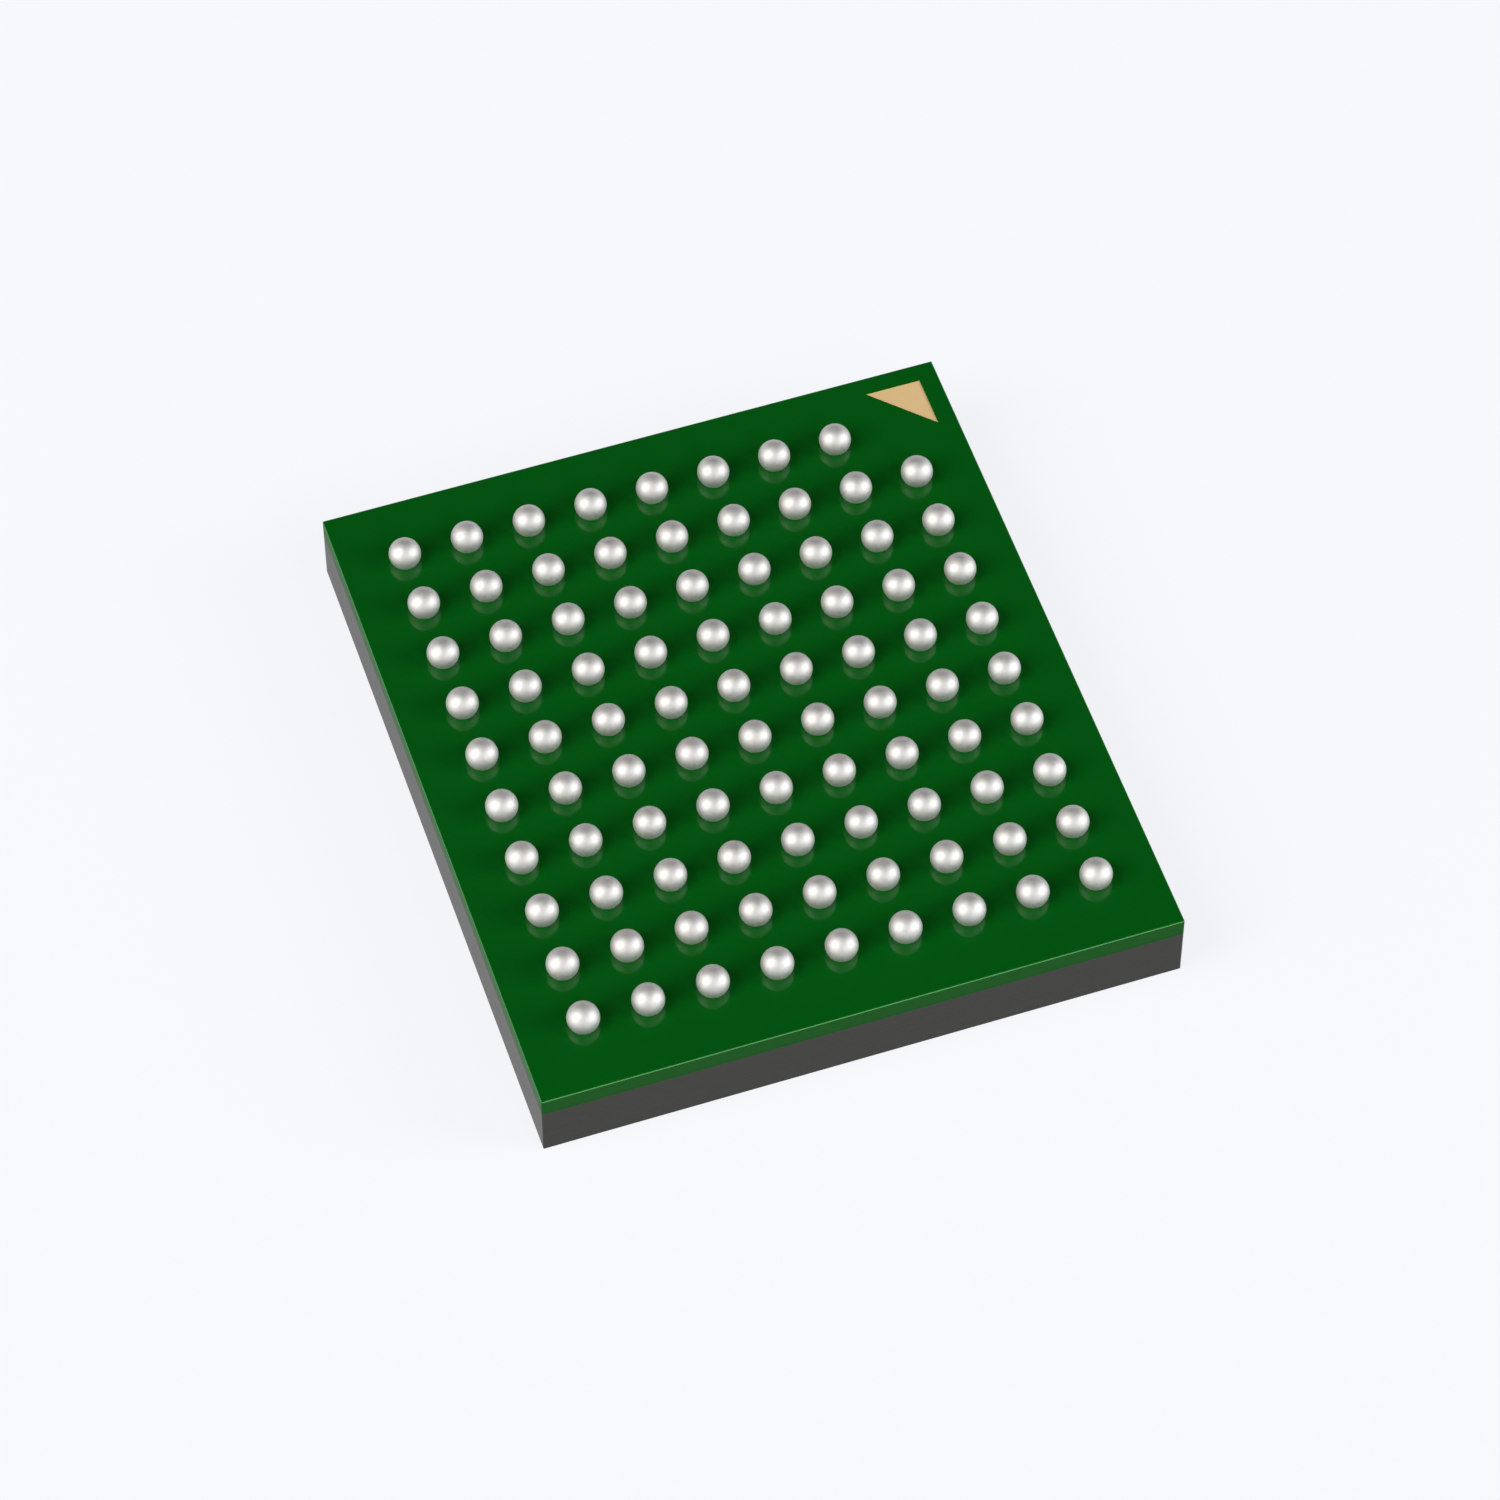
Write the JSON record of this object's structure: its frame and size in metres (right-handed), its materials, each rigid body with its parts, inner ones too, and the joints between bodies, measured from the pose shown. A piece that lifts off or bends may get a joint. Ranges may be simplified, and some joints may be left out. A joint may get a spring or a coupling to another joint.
{
  "type": "ball grid array chip",
  "caption": "Moulded ball grid array chip package: a die wire-bonded to a green laminate substrate, with solder balls in rows on the face that meets the board.",
  "frame": {"origin": "middle of the moulded cap's flat outer face, on which the package lies with its balls up", "axes": "+Z out of the ball side; +X across the ball columns and +Y across the ball rows, both towards corner A1"},
  "size_m": [0.008, 0.009, 0.0013],
  "materials": {
    "mold_compound": "matt moulded epoxy",
    "gold_wire": "drawn",
    "silicon": "ground",
    "die_adhesive": "cured",
    "solder_mask": "glossy coating",
    "copper": "etched",
    "laminate": "sawn",
    "plug_resin": "cured",
    "gold_plate": "satin plated",
    "solder": "satin reflowed"
  },
  "bodies": {
    "root": {"mold_cap": "mold_compound", "bond_wires": "gold_wire", "die": "silicon", "die_attach": "die_adhesive", "die_side_mask": "solder_mask", "die_side_copper": "copper", "substrate_core": "laminate", "via_barrels": "copper", "via_plugs": "plug_resin", "ball_side_copper": "copper", "pin1_marker": "gold_plate", "ball_side_mask": "solder_mask", "balls_row_a": "solder", "balls_row_b": "solder", "balls_row_c": "solder", "balls_row_d": "solder", "balls_row_e": "solder", "balls_row_f": "solder", "balls_row_g": "solder", "balls_row_h": "solder", "balls_row_j": "solder", "balls_row_k": "solder"}
  },
  "joints": []
}
